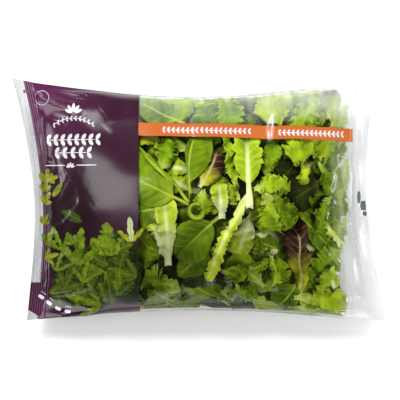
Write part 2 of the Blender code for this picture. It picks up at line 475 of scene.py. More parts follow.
def layLeaf(kind, layers, base, tip, halfWide, rng, bend=0.0, tilt=(0.0, 0.0), sink=0.0, tone=0.0, detail=(24, 12), pressed=1.0, curl=1.0, narrow=0.0):
    # one leaf from base to tip under the film, below every leaf laid before it
    shape = leafKinds[kind]
    rows, columns = detail
    base, tip = np.asarray(base, float), np.asarray(tip, float)
    length = np.linalg.norm(tip - base)
    s = np.concatenate([[0, 0.01], np.linspace(0.035, 0.975, rows - 4), [0.994, 1]])[:, None]
    spread = np.linspace(-1, 1, columns - 2)
    t = np.sign(spread) * abs(spread) ** 0.85 * 0.9
    t = np.concatenate([[-1, -0.965], t[1:-1], [0.965, 1]])[None, :]
    q = np.clip((s - shape["stem"]) / (1 - shape["stem"]), 0, 1)
    grow, close = shape["grow"] * rng.uniform(0.85, 1.2), shape["close"] * rng.uniform(0.85, 1.2)
    peak = grow / (grow + close)
    profile = q**grow * (1 - q) ** close / (peak**grow * (1 - peak) ** close)
    left, right = (unevenEdge(rng, q, shape["lobes"], shape["notch"], shape["teeth"]) for _ in range(2))
    outline = np.where(t > 0, right, left) * (1 + 0.12 * np.sign(t) * rng.uniform(-1, 1))
    outline = outline * (1 - abs(narrow) * (t * narrow > 0))
    stemWide = shape["ribWidth"] * mm * np.interp(s, [0, 0.3, 1], [1.4, 1.0, 0.2])
    wide = np.maximum(stemWide, halfWide * profile * outline)
    edge = abs(t) + 0 * s
    wander = rng.uniform(0, 2 * np.pi, 4)
    waves = shape["waves"] * rng.uniform(0.8, 1.25)
    beat = 2 * np.pi * waves * q + 1.4 * np.sin(2 * np.pi * 1.7 * q + wander[0]) + np.where(t > 0, wander[1], wander[2])
    strength = shape["ruffle"] * mm * curl * np.minimum(1, 5 * q) * (0.65 + 0.35 * np.sin(2 * np.pi * 1.3 * q + wander[3]))
    frill = strength * (edge**2.2 * np.sin(beat) + 0.45 * edge**5 * np.sin(2.6 * beat + 1.0))
    l = s * length - 0.3 * halfWide * (1 - outline) * edge + 0.5 * strength * edge**3 * np.cos(beat)
    w = t * wide + 0.35 * np.sign(t) * strength * edge**4 * np.cos(1.6 * beat) * np.minimum(1, wide / (6 * mm))
    heading = math.atan2(*(tip - base)[::-1])
    turned = heading + bend * (s - 0.5)
    stepL = np.diff(s[:, 0], prepend=0) * length
    axisA = np.cumsum(np.cos(turned[:, 0]) * stepL)[:, None]
    axisB = np.cumsum(np.sin(turned[:, 0]) * stepL)[:, None]
    sway = shape["sway"] * mm * curl
    l = l + sway * waveNoise(rng, l, w, 30 * mm) * np.minimum(1, 4 * s)
    w = w + sway * waveNoise(rng, l, w, 30 * mm) * np.minimum(1, 4 * s)
    slide = l - s * length
    a = base[0] + axisA + np.cos(turned) * slide - np.sin(turned) * w
    b = base[1] + axisB + np.sin(turned) * slide + np.cos(turned) * w
    puff = abs(np.sin(np.pi * ((l - veinSlant * abs(w)) / veinSpacing - 0.5))) ** 0.8
    relief = frill + shape["quilt"] * mm * puff * np.clip(abs(w) / (3 * mm), 0, 1) * (1 - edge**3)
    relief = relief + shape["crinkle"] * mm * waveNoise(rng, l, w, 10 * mm) * np.minimum(1, 5 * q) * (0.35 + 0.65 * edge)
    relief = relief + waveNoise(rng, l, w, shape["foldLength"] * mm) * shape["fold"] * mm * curl
    cupping = rng.choice((-1, 1)) * rng.uniform(0.3, 1) * shape["cup"] * curl
    relief = relief + cupping * halfWide * edge**1.8 * np.minimum(1, 3 * q) - 0.7 * mm * np.exp(-((w / (2 * mm)) ** 2))
    relief = relief + rng.uniform(-0.5, 1) * 0.07 * length * np.sin(np.pi * s) * curl
    twist = rng.uniform(-0.5, 0.5) * curl
    under = layers.smooth[layers.cells(a, b)]
    free = tilt[0] * (l - length / 2) + (tilt[1] + twist * (s - 0.5)) * w - relief
    free = free - np.percentile(free - under, 100 * pressed * shape["loose"]) + sink
    press = 0.7 * mm
    depth = under + press * np.logaddexp(0, (free - under) / press)
    room = sample(localThickness, a, b)
    limit = np.maximum(room * heap["deepest"] - 2 * mm, 1.5 * mm)
    depth = limit * np.tanh(depth / limit)
    layers.cover(a, b, depth)
    edgeB = flatHalfWidth - 4 * mm
    b = np.clip(b, -edgeB, edgeB)
    film, normal = sample(films[layers.face], a, b), sample(normals[layers.face], a, b)
    ribThick = 1.3 * mm * shape["ribWidth"] * (1 - s) ** 1.5 * np.exp(-((w / (shape["ribWidth"] * mm * 1.5)) ** 2))
    thick = np.minimum(heap["thickness"] + ribThick, np.maximum(0.2 * room, 0.15 * mm))
    upper = film - normal * (heap["clearance"] + depth)[..., None]
    lower = upper - normal * thick[..., None]
    addLeafMesh(kind, layers, (a, b, depth), upper, lower, l, w, s + 0 * t, edge, tone)


def addLeafMesh(kind, layers, place, upper, lower, l, w, s, edge, tone):
    countS, countT = upper.shape[:2]
    top = np.arange(countS * countT).reshape(countS, countT)
    under = top.copy()
    inner = np.arange((countS - 2) * (countT - 2)).reshape(countS - 2, countT - 2) + countS * countT
    under[1:-1, 1:-1] = inner
    points = np.concatenate([upper.reshape(-1, 3), lower[1:-1, 1:-1].reshape(-1, 3)])
    quads = np.stack([top[:-1, :-1], top[1:, :-1], top[1:, 1:], top[:-1, 1:]], axis=-1).reshape(-1, 4)
    quadsUnder = np.stack([under[:-1, :-1], under[:-1, 1:], under[1:, 1:], under[1:, :-1]], axis=-1).reshape(-1, 4)
    faces = np.concatenate([quads, quadsUnder])
    both = lambda field: np.concatenate([field.ravel(), field[1:-1, 1:-1].ravel()])
    fields = [both(field) for field in (l, w, s, edge, *place)]
    collected[kind].append((points, faces, *fields[:4], np.full(len(points), tone), layers, *fields[4:]))


def meshFromArrays(name, points, faces):
    mesh = bpy.data.meshes.new(name)
    mesh.vertices.add(len(points))
    mesh.vertices.foreach_set("co", points.ravel())
    mesh.loops.add(faces.size)
    mesh.loops.foreach_set("vertex_index", faces.ravel().astype(np.int32))
    mesh.polygons.add(len(faces))
    mesh.polygons.foreach_set("loop_start", np.arange(0, faces.size, faces.shape[1], dtype=np.int32))
    mesh.update(calc_edges=True)
    mesh.validate()
    mesh.shade_smooth()
    piece = bpy.data.objects.new(name, mesh)
    bpy.context.scene.collection.objects.link(piece)
    return piece


def addField(piece, name, values):
    field = piece.data.attributes.new(name, "FLOAT", "POINT")
    field.data.foreach_set("value", np.asarray(values, dtype=np.float32))


def gatherLeaves(kind):
    parts = collected[kind]
    offset = np.cumsum([0] + [len(part[0]) for part in parts[:-1]])
    points = np.concatenate([part[0] for part in parts])
    faces = np.concatenate([part[1] + start for part, start in zip(parts, offset)])
    piece = meshFromArrays(kind + "Leaves", points, faces)
    for place, name in ((2, "leafLong"), (3, "leafWide"), (4, "leafShare"), (5, "leafEdge"), (6, "leafTone")):
        addField(piece, name, np.concatenate([part[place] for part in parts]))
    # painted shade: how far each leaf point lies below the heap's smoothed top, used in the blade material to darken it
    shadeDepth = [part[10] - part[7].level[part[7].cells(part[8], part[9])] for part in parts]
    addField(piece, "leafShadeDepth", np.concatenate(shadeDepth) / mm)
    print(piece.name, len(parts), "leaves", 2 * len(faces), "triangles")
    return piece


def onTop(x, y):
    # a place on the front from millimetres seen from above
    a, b = placeOnFront(x * mm, y * mm)
    return float(a), float(b)


# leaves that show plainly, from the top of the heap down: kind, base, tip and half width in millimetres,
# bend, tone, tilt along and across
plainLeaves = (
    ("ribbed", (45, -7), (43, 62), 16, -0.05, 0.4, 0.0, 0.0),
    ("endive", (44, 3), (7, -75), 7, 0.35, 0.75, 0.0, 0.0),
    ("frilly", (35, 0), (20, 58), 7, 0.35, 1.0, 0.02, 0.1),
    ("spinach", (-10, -2), (-60, 50), 2.2, 0.12, 0.9, 0.0, 0.0),
    ("spinach", (-10, -4), (-98, 38), 25, 0.1, 0.35, 0.02, 0.02),
    ("spinach", (-9, 6), (-2, 70), 24, -0.5, -0.1, 0.05, -0.12, 0.85),
    ("redLeaf", (0, 12), (16, 46), 12, 0.3, -0.6, 0.08, 0.0),
    ("paleFoot", (20, -17), (17, 14), 10, 0.1, 0.6, 0.0, 0.0),
    ("frilly", (3, 10), (8, -14), 8, 0.3, 0.8, 0.0, -0.1),
    ("lettuce", (10, 44), (20, -10), 17, 0.1, 0.75, 0.0, -0.05),
    ("paleFoot", (-29, -60), (-33, 4), 12, 0.1, 0.9, 0.0, 0.0),
    ("paleFoot", (-35, -50), (-46, -20), 7, 0.5, 1.0, 0.0, 0.1),
    ("spinach", (-13, -3), (-92, -16), 20, -0.1, 0.0, 0.05, 0.1),
    ("frilly", (50, 10), (84, 12), 11, -0.5, 0.9, 0.0, 0.1),
    ("frilly", (58, 8), (66, -32), 12, -0.3, 0.85, 0.0, -0.1),
    ("curly", (64, 12), (88, -24), 14, 0.3, 0.8, 0.0, 0.1),
    ("lettuce", (50, 24), (76, -28), 20, 0.25, 0.35, 0.0, 0.05),
    ("paleFoot", (50, -12), (36, -52), 14, 0.2, 0.65, 0.0, 0.08),
    ("spinach", (17, -16), (-22, -54), 19, 0.15, -0.35, 0.03, 0.05),
    ("spinach", (14, -44), (-20, -72), 14, 0.3, -0.6, 0.06, 0.0),
    ("curly", (74, -4), (92, -22), 8, 0.5, 0.9, 0.0, 0.2),
    ("curly", (44, -32), (58, -44), 7, 0.5, 0.9, 0.0, 0.2),
    ("curly", (28, -20), (26, -36), 6, 0.5, 0.8, 0.0, 0.2),
    ("frilly", (112, 60), (84, 36), 15, 0.4, 0.8, 0.0, 0.1),
    ("curly", (110, 34), (124, 6), 9, -0.5, 0.5, 0.0, 0.2),
    ("curly", (124, 2), (112, -30), 9, 0.5, 0.2, 0.0, 0.2),
    ("frilly", (126, -62), (112, -86), 9, 0.5, 0.7, 0.0, 0.2),
    ("curly", (46, -64), (62, -56), 7, 0.4, 0.6, 0.0, 0.2),
    ("curly", (34, -78), (48, -88), 8, 0.4, 0.6, 0.0, 0.2),
    ("frilly", (66, -52), (72, -70), 6, 0.5, 0.9, 0.0, 0.2),
    ("curly", (20, -66), (40, -74), 8, -0.4, 0.2, 0.0, 0.1),
    ("lettuce", (134, 56), (106, 46), 14, 0.3, 0.7, 0.0, 0.05),
    ("lettuce", (96, 46), (100, 12), 7, 0.1, 0.75, 0.03, 0.1),
    ("endive", (134, -42), (109, -9), 5, 0.1, 0.9, 0.0, 0.0),
    ("redLeaf", (95, -92), (90, -16), 14, 0.12, 0.2, 0.0, 0.05),
    ("darkLeaf", (118, 18), (84, -2), 17, 0.2, -0.3, 0.03, 0.0),
    ("darkLeaf", (98, 40), (76, 18), 14, 0.3, -0.4, 0.05, 0.0),
    ("curly", (132, 30), (112, -16), 15, 0.3, 0.1, 0.0, 0.08),
    ("spinach", (84, -2), (110, -18), 8, -0.3, 0.6, 0.0, 0.1),
    ("spinach", (98, -16), (128, -46), 12, 0.1, -0.8, 0.02, 0.05),
    ("curly", (134, -48), (108, -76), 14, 0.3, 0.2, 0.0, 0.05),
    ("lettuce", (88, -92), (142, -98), 14, -0.15, 0.8, 0.0, 0.0),
    ("frilly", (64, -82), (78, -56), 9, 0.3, 0.75, 0.0, 0.1),
    ("lettuce", (60, -84), (28, -56), 17, 0.3, 0.05, 0.0, 0.05),
    ("curly", (20, -88), (56, -88), 13, 0.2, 0.0, 0.0, 0.05),
    ("frilly", (-20, -84), (-54, -72), 17, 0.3, 0.2, 0.0, 0.03),
    ("curly", (-36, 30), (-28, 58), 11, 0.3, 0.6, 0.04, 0.08),
    ("curly", (62, 20), (70, 54), 10, 0.2, 0.8, 0.05, 0.1),
    ("darkLeaf", (52, 18), (62, 52), 10, 0.1, -0.3, 0.1, 0.0),
    ("frilly", (120, 76), (124, 100), 10, 0.3, 0.6, 0.0, 0.0),
    ("spinach", (-14, 70), (-60, 92), 15, 0.1, -0.6, 0.0, 0.0),
    ("curly", (24, 100), (30, 60), 15, 0.2, 0.3, 0.0, 0.05),
    ("lettuce", (-2, 98), (-24, 72), 15, 0.2, -0.3, 0.0, 0.05),
    ("lettuce", (84, 100), (60, 74), 16, 0.3, 0.55, 0.0, 0.05),
    ("frilly", (110, 96), (92, 66), 16, 0.3, 0.7, 0.0, 0.05),
    ("curly", (138, 62), (125, 30), 9, 0.3, 0.0, 0.0, 0.05),
    ("frilly", (139, 38), (127, 4), 8, -0.3, 0.4, 0.0, 0.05),
    ("curly", (139, 12), (128, -24), 8, 0.3, 0.3, 0.0, 0.05),
    ("frilly", (139, -18), (126, -52), 9, 0.3, 0.1, 0.0, 0.05),
    ("lettuce", (138, 88), (124, 62), 10, 0.3, 0.4, 0.0, 0.05),
    ("spinach", (138, 46), (108, 26), 11, 0.2, -0.6, 0.0, 0.0),
    ("spinach", (138, -24), (110, -6), 10, 0.2, -0.4, 0.0, 0.0),
)


def curledRing(layers, middle, radius, turn, halfWide, rng):
    # a narrow leaf rolled into a ring and seen from its end
    around = 5.7
    out = np.array([math.cos(turn), math.sin(turn)])
    heading = turn + math.pi / 2 + around / 2
    base = np.array(onTop(*middle)) + radius * out
    tip = base + radius * around * np.array([math.cos(heading), math.sin(heading)])
    layLeaf("spinach", layers, base, tip, halfWide, rng, around, (0, 0.35), 0.0, 0.7, (44, 10), 1.0, 0.15)


print("leaves: laying")
rng = np.random.default_rng(2718)
front, back = Layers(1), Layers(-1)
curledRing(front, (-3.5, -9.5), 6.6 * mm, 0.9, 2.4 * mm, rng)
for kind, base, tip, wide, bend, tone, tiltAlong, tiltAcross, *narrow in plainLeaves:
    ends, tilt = (onTop(*base), onTop(*tip)), (tiltAlong, tiltAcross)
    layLeaf(kind, front, *ends, wide * mm, rng, bend, tilt, 0.0, tone, (60, 26), 1.2, 0.85, *narrow)


def fillLeaves(layers, count, shares):
    names = list(shares)
    chances = np.array([shares[name] for name in names]) / sum(shares.values())
    a = cellA0 + (np.arange(cellsA) + 0.5) * heap["cell"]
    b = cellB0 + (np.arange(cellsB) + 0.5) * heap["cell"]
    gridA, gridB = np.meshgrid(a, b, indexing="ij")
    room = sample(localThickness, gridA, gridB)
    inside = (gridA > heap["left"]) & (gridA < heap["right"] - 6 * mm) & (abs(gridB) < flatHalfWidth - 6 * mm) & (room > 6 * mm)
    for n in range(count):
        bare = box(layers.top, 3) + rng.uniform(0, 9 * mm, layers.top.shape)
        bare[~inside] = 0
        i, j = np.unravel_index(np.argmax(bare), bare.shape)
        kind = names[rng.choice(len(names), p=chances)]
        middle = np.array([a[i], b[j]])
        heading = rng.uniform(0, 2 * np.pi)
        length = rng.uniform(34, 62) * mm
        wide = length * rng.uniform(0.2, 0.34) * (0.6 if kind == "endive" else 1)
        reach = np.array([math.cos(heading), math.sin(heading)]) * length / 2
        base, tip = middle - reach, middle + reach
        for end in (base, tip):
            end[0] = np.clip(end[0], heap["left"] - 10 * mm, heap["right"] - 6 * mm)
            end[1] = np.clip(end[1], -flatHalfWidth + 8 * mm, flatHalfWidth - 8 * mm)
        if np.linalg.norm(tip - base) < 20 * mm:
            continue
        detail = (36, 18) if kind in ("lettuce", "frilly", "curly") else (28, 14)
        tilt = tuple(rng.uniform(-0.28, 0.28, 2))
        layLeaf(kind, layers, base, tip, wide, rng, rng.uniform(-0.9, 0.9), tilt, rng.uniform(0, 1.5) * mm, rng.uniform(-1, 1), detail)


shares = {"lettuce": 2.1, "frilly": 1.5, "curly": 1.6, "spinach": 2.8, "endive": 0.9, "ribbed": 0.5, "paleFoot": 0.7, "darkLeaf": 1.5, "redLeaf": 0.6}
fillLeaves(front, 116, shares)
fillLeaves(back, 68, shares)
for layers in (front, back):
    layers.level = box(box(np.minimum(layers.top, 25 * mm), 3), 3)  # the heap's top, smoothed over a few millimetres
leafPieces = {kind: gatherLeaves(kind) for kind in leafKinds}


# node helpers

def newMaterial(name):
    material = bpy.data.materials.new(name)
    material.use_nodes = True
    tree = material.node_tree
    tree.nodes.clear()
    output = tree.nodes.new("ShaderNodeOutputMaterial")
    return material, tree, output


def add(tree, kind, inputs=None, **settings):
    node = tree.nodes.new(kind)
    for key, value in settings.items():
        setattr(node, key, value)
    for key, value in (inputs or {}).items():
        socket = node.inputs[key]
        if isinstance(value, bpy.types.NodeSocket):
            tree.links.new(value, socket)
        elif value is not None:
            socket.default_value = value
    return node


def calc(tree, operation, first, second=None, third=None, clamp=False):
    node = add(tree, "ShaderNodeMath", {0: first, 1: second, 2: third}, operation=operation, use_clamp=clamp)
    return node.outputs[0]


def ramp(tree, value, low, high, toLow=0.0, toHigh=1.0):
    node = add(tree, "ShaderNodeMapRange", {"Value": value, "From Min": low, "From Max": high, "To Min": toLow, "To Max": toHigh})
    return node.outputs[0]


def blendColour(tree, share, first, second):
    node = add(tree, "ShaderNodeMix", data_type="RGBA")
    for key, value in ((0, share), (6, first), (7, second)):
        if isinstance(value, bpy.types.NodeSocket):
            tree.links.new(value, node.inputs[key])
        else:
            node.inputs[key].default_value = value if key == 0 else (*value, 1)
    return node.outputs[2]


def attribute(tree, name):
    return add(tree, "ShaderNodeAttribute", attribute_name=name).outputs["Fac"]


leafColours = {
    # dark blade, light blade, ribs, foot of the leaf, rim; on all but the red and the dark leaves the rim is paler than
    # the blade, a painted highlight along the curled edges
    "spinach": ((0.034, 0.086, 0.002), (0.225, 0.345, 0.007), (0.42, 0.50, 0.05), (0.36, 0.45, 0.035), (0.26, 0.38, 0.01)),
    "lettuce": ((0.10, 0.20, 0.001), (0.43, 0.545, 0.016), (0.50, 0.59, 0.08), (0.62, 0.68, 0.22), (0.50, 0.60, 0.05)),
    "frilly": ((0.062, 0.15, 0.001), (0.35, 0.49, 0.014), (0.45, 0.55, 0.06), (0.60, 0.66, 0.18), (0.46, 0.59, 0.045)),
    "curly": ((0.040, 0.110, 0.002), (0.235, 0.375, 0.008), (0.40, 0.50, 0.04), (0.56, 0.63, 0.14), (0.36, 0.50, 0.02)),
    "endive": ((0.25, 0.365, 0.003), (0.53, 0.63, 0.025), (0.70, 0.76, 0.24), (0.78, 0.82, 0.42), (0.63, 0.71, 0.10)),
    "ribbed": ((0.14, 0.26, 0.002), (0.44, 0.57, 0.012), (0.80, 0.84, 0.46), (0.86, 0.88, 0.58), (0.53, 0.64, 0.04)),
    "paleFoot": ((0.16, 0.26, 0.004), (0.45, 0.56, 0.02), (0.74, 0.78, 0.42), (0.78, 0.81, 0.54), (0.62, 0.69, 0.15)),
    "redLeaf": ((0.050, 0.014, 0.013), (0.44, 0.48, 0.004), (0.52, 0.46, 0.20), (0.50, 0.50, 0.05), (0.12, 0.04, 0.02)),
    "darkLeaf": ((0.009, 0.010, 0.004), (0.038, 0.054, 0.004), (0.075, 0.10, 0.015), (0.12, 0.15, 0.03), (0.03, 0.036, 0.004)),
}


def leafMaterial(kind):
    material, tree, output = newMaterial(kind + "Blade")
    dark, light, rib, foot, rim = leafColours[kind]
    long, wide = attribute(tree, "leafLong"), attribute(tree, "leafWide")
    share, edge, tone = attribute(tree, "leafShare"), attribute(tree, "leafEdge"), attribute(tree, "leafTone")
    place = add(tree, "ShaderNodeCombineXYZ", {"X": long, "Y": wide, "Z": calc(tree, "MULTIPLY", tone, 0.5)}).outputs[0]
    mottle = add(tree, "ShaderNodeTexNoise", {"Vector": place, "Scale": 60.0, "Detail": 3.0}).outputs["Fac"]
    fine = add(tree, "ShaderNodeTexNoise", {"Vector": place, "Scale": 420.0, "Detail": 2.0}).outputs["Fac"]
    away = calc(tree, "ABSOLUTE", wide)
    slanted = calc(tree, "SUBTRACT", long, calc(tree, "MULTIPLY", away, veinSlant))
    wobble = calc(tree, "MULTIPLY", calc(tree, "SUBTRACT", mottle, 0.5), 0.006)
    comb = calc(tree, "FRACT", calc(tree, "DIVIDE", calc(tree, "ADD", slanted, wobble), veinSpacing))
    sideRib = ramp(tree, calc(tree, "ABSOLUTE", calc(tree, "SUBTRACT", comb, 0.5)), 0.0, 0.11, 1.0, 0.0)
    sideRib = calc(tree, "MULTIPLY", sideRib, ramp(tree, edge, 0.75, 1.0, 1.0, 0.0))
    ribWidth = leafKinds[kind]["ribWidth"] * mm
    middleRib = ramp(tree, away, ribWidth * 0.35, ribWidth * 1.1, 1.0, 0.0)
    ribStart, ribEnd = (0.2, 0.6) if kind in ("lettuce", "frilly", "curly") else (0.65, 1.0)
    middleRib = calc(tree, "MULTIPLY", middleRib, ramp(tree, share, ribStart, ribEnd, 1.0, 0.0))
    lightness = calc(tree, "ADD", calc(tree, "MULTIPLY", tone, 0.34), ramp(tree, mottle, 0.3, 0.7, 0.22, 0.78), clamp=True)
    if kind == "redLeaf":
        lightness = calc(tree, "SUBTRACT", ramp(tree, share, 0.3, 0.62, 1.0, 0.0), ramp(tree, mottle, 0.35, 0.7, 0.0, 0.3), clamp=True)
    blade = blendColour(tree, lightness, dark, light)
    # painted highlight: the edge of the blade is blended towards the paler rim colour, more strongly on the frilled
    # kinds
    rimShare = 0.7 if kind in ("lettuce", "frilly", "curly", "endive", "ribbed", "paleFoot") else 0.3
    blade = blendColour(tree, ramp(tree, edge, 0.72, 1.0, 0.0, rimShare), blade, rim)
    footEnd = 0.66 if kind == "paleFoot" else 0.32
    blade = blendColour(tree, ramp(tree, share, 0.02, footEnd, 0.9, 0.0), blade, foot)
    blade = blendColour(tree, calc(tree, "MULTIPLY", sideRib, 0.30), blade, rib)
    blade = blendColour(tree, calc(tree, "MULTIPLY", middleRib, 0.85), blade, rib)
    # painted shade: blades lying deeper than the heap's top round them are darkened towards a near-black green
    shadeDepth = attribute(tree, "leafShadeDepth")
    blade = blendColour(tree, ramp(tree, shadeDepth, 0.6, 6.5, 0.0, 0.72), blade, tuple(0.12 * part for part in dark))
    height = calc(tree, "ADD", calc(tree, "MULTIPLY", fine, 0.35), calc(tree, "MULTIPLY", sideRib, -0.8))
    bump = add(tree, "ShaderNodeBump", {"Height": height, "Strength": 0.5, "Distance": 0.4 * mm}).outputs[0]
    crumple = add(tree, "ShaderNodeTexNoise", {"Vector": place, "Scale": 130.0, "Detail": 1.0}).outputs["Fac"]
    deep = (2.8 if kind in ("lettuce", "frilly", "curly", "redLeaf") else 1.2) * mm
    bump = add(tree, "ShaderNodeBump", {"Height": crumple, "Strength": 0.6, "Distance": deep, "Normal": bump}).outputs[0]
    finish = {"Base Color": blade, "Roughness": 0.4, "Specular IOR Level": 0.22, "Specular Tint": (0.9, 1.0, 0.55, 1), "Normal": bump}
    shader = add(tree, "ShaderNodeBsdfPrincipled", finish)
    tree.links.new(shader.outputs[0], output.inputs[0])
    return material


for kind, piece in leafPieces.items():
    piece.data.materials.append(leafMaterial(kind))
    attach(piece, "root")


# the inside of the heap: a dark sheet that stands for the deep shade among the leaves, painted shade

def coreSheets():
    sheets = {}
    for layers in (front, back):
        a, b = np.meshgrid(fineA, fineB, indexing="ij")
        depth = box(layers.smooth, 4)[layers.cells(a, b)] + 3 * mm
        depth = np.maximum(depth, 7 * mm)
        limit = np.maximum(localThickness * 0.47, 0)
        depth = np.minimum(depth, limit)
        sheets[layers.face] = films[layers.face] - normals[layers.face] * depth[..., None]
    return sheets


core = coreSheets()
firstColumn = int(np.argmin(abs(fineA - heap["left"])))
lastColumn = int(np.argmin(abs(fineA - (heap["right"] - 1 * mm))))
cropped = {face: core[face][firstColumn : lastColumn + 1 : 2, 6:-6:2] for face in (1, -1)}


def closedPair(name, front, back):
    # two sheets that meet round their borders, as one closed skin
    countA, countB = front.shape[:2]
    top = np.arange(countA * countB).reshape(countA, countB)
    under = top.copy()
    under[1:-1, 1:-1] = np.arange((countA - 2) * (countB - 2)).reshape(countA - 2, countB - 2) + countA * countB
    middle = (front + back) / 2
    upper = front.copy()
    upper[0], upper[-1], upper[:, 0], upper[:, -1] = middle[0], middle[-1], middle[:, 0], middle[:, -1]
    points = np.concatenate([upper.reshape(-1, 3), back[1:-1, 1:-1].reshape(-1, 3)])
    quads = np.stack([top[:-1, :-1], top[1:, :-1], top[1:, 1:], top[:-1, 1:]], axis=-1).reshape(-1, 4)
    quadsUnder = np.stack([under[:-1, :-1], under[:-1, 1:], under[1:, 1:], under[1:, :-1]], axis=-1).reshape(-1, 4)
    return meshFromArrays(name, points, np.concatenate([quads, quadsUnder]))


corePiece = closedPair("heapCore", cropped[1], cropped[-1])
material, tree, output = newMaterial("deepLeafShade")
coords = add(tree, "ShaderNodeTexCoord").outputs["Object"]
noise = add(tree, "ShaderNodeTexNoise", {"Vector": coords, "Scale": 90.0, "Detail": 4.0}).outputs["Fac"]
# painted shade: near-black greens for the shade deep in the heap, darker than any leaf's own colour
colour = blendColour(tree, ramp(tree, noise, 0.35, 0.7), (0.012, 0.020, 0.005), (0.050, 0.082, 0.009))
shader = add(tree, "ShaderNodeBsdfPrincipled", {"Base Color": colour, "Roughness": 0.6})
tree.links.new(shader.outputs[0], output.inputs[0])
corePiece.data.materials.append(material)
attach(corePiece, "root")
print("core", len(corePiece.data.polygons), "faces")


# the film over the leaves

printed = {
    "panelEdge": -56 * mm,  # the plum panel reaches this far along
    "clearStrip": 10.5 * mm,
    "bandMiddle": 64.8 * mm,
    "bandHalf": 6.2 * mm,
    "bandSlope": -0.021,
    "bandEnd": 142.5 * mm,
}


# creases in the film, in millimetres from above: two ends, width, height
creases = (
    ((62, 84), (66, 52), 2.2, 1.3),
    ((66, 52), (76, 78), 3.0, -0.7),
    ((128, 90), (156, 108), 2.6, 1.6),
    ((138, 70), (153, 84), 2.4, 1.0),
    ((137, 44), (153, 52), 2.4, 1.2),
    ((134, 18), (151, 24), 2.4, 1.0),
    ((136, -12), (152, -14), 2.4, 1.1),
    ((136, -46), (154, -52), 2.4, 1.2),
    ((140, -74), (158, -88), 2.6, 1.2),
    ((-150, 96), (-118, 84), 3.0, 1.8),
    ((-146, 104), (-104, 92), 3.0, -1.4),
    ((-148, 78), (-128, 72), 2.4, 1.4),
    ((-104, 98), (-82, 74), 3.2, 1.5),
    ((-82, 74), (-60, 88), 3.0, -1.0),
    ((-150, 38), (-134, 34), 2.6, 1.3),
    ((-148, 2), (-132, 6), 2.6, 1.2),
    ((-150, -36), (-132, -30), 2.6, 1.3),
    ((-152, -70), (-130, -58), 2.8, 1.5),
    ((-20, 98), (-16, 80), 2.2, 0.9),
    ((30, 98), (34, 78), 2.2, 0.9),
    ((92, 102), (88, 84), 2.2, 1.0),
    ((-30, -100), (-24, -88), 2.2, 0.8),
    ((44, -101), (40, -88), 2.2, 0.8),
    ((100, -104), (94, -90), 2.2, 0.9),
)


# painted glints: white lines laid along sharp folds, in the same way
paintedGlintLines = (
    ((67.2, 80), (61.2, 66), 0.6, 0.75),
    ((67.2, 80), (65.0, 54), 0.6, 0.7),
    ((61.2, 67), (63.6, 53), 0.6, 0.65),
    ((146, 96), (150, 62), 1.6, 0.5),
    ((149, 40), (151, 12), 1.5, 0.45),
    ((140, 30), (141, -8), 1.3, 0.35),
    ((150, -24), (155, -60), 1.6, 0.5),
    ((143, -50), (147, -80), 1.4, 0.35),
    ((-148, 62), (-150, 40), 1.0, 0.25),
    ((-136, 80), (-122, 76), 0.9, 0.25),
    ((-92, 71), (-80, 61), 0.9, 0.22),
)


def creaseHeight(sheet, lines):
    x, y = sheet[..., 0] / mm, sheet[..., 1] / mm
    total = np.zeros(x.shape)
    for first, last, wide, high in lines:
        first, last = np.array(first, float), np.array(last, float)
        run = last - first
        part = ((x - first[0]) * run[0] + (y - first[1]) * run[1]) / (run @ run)
        away = abs((x - first[0]) * run[1] - (y - first[1]) * run[0]) / np.linalg.norm(run)
        inside = np.clip(1 - abs(2 * part - 1) ** 2, 0, 1) * ((part > 0) & (part < 1))
        total += high * mm * inside * np.exp(-away / wide)
    return total


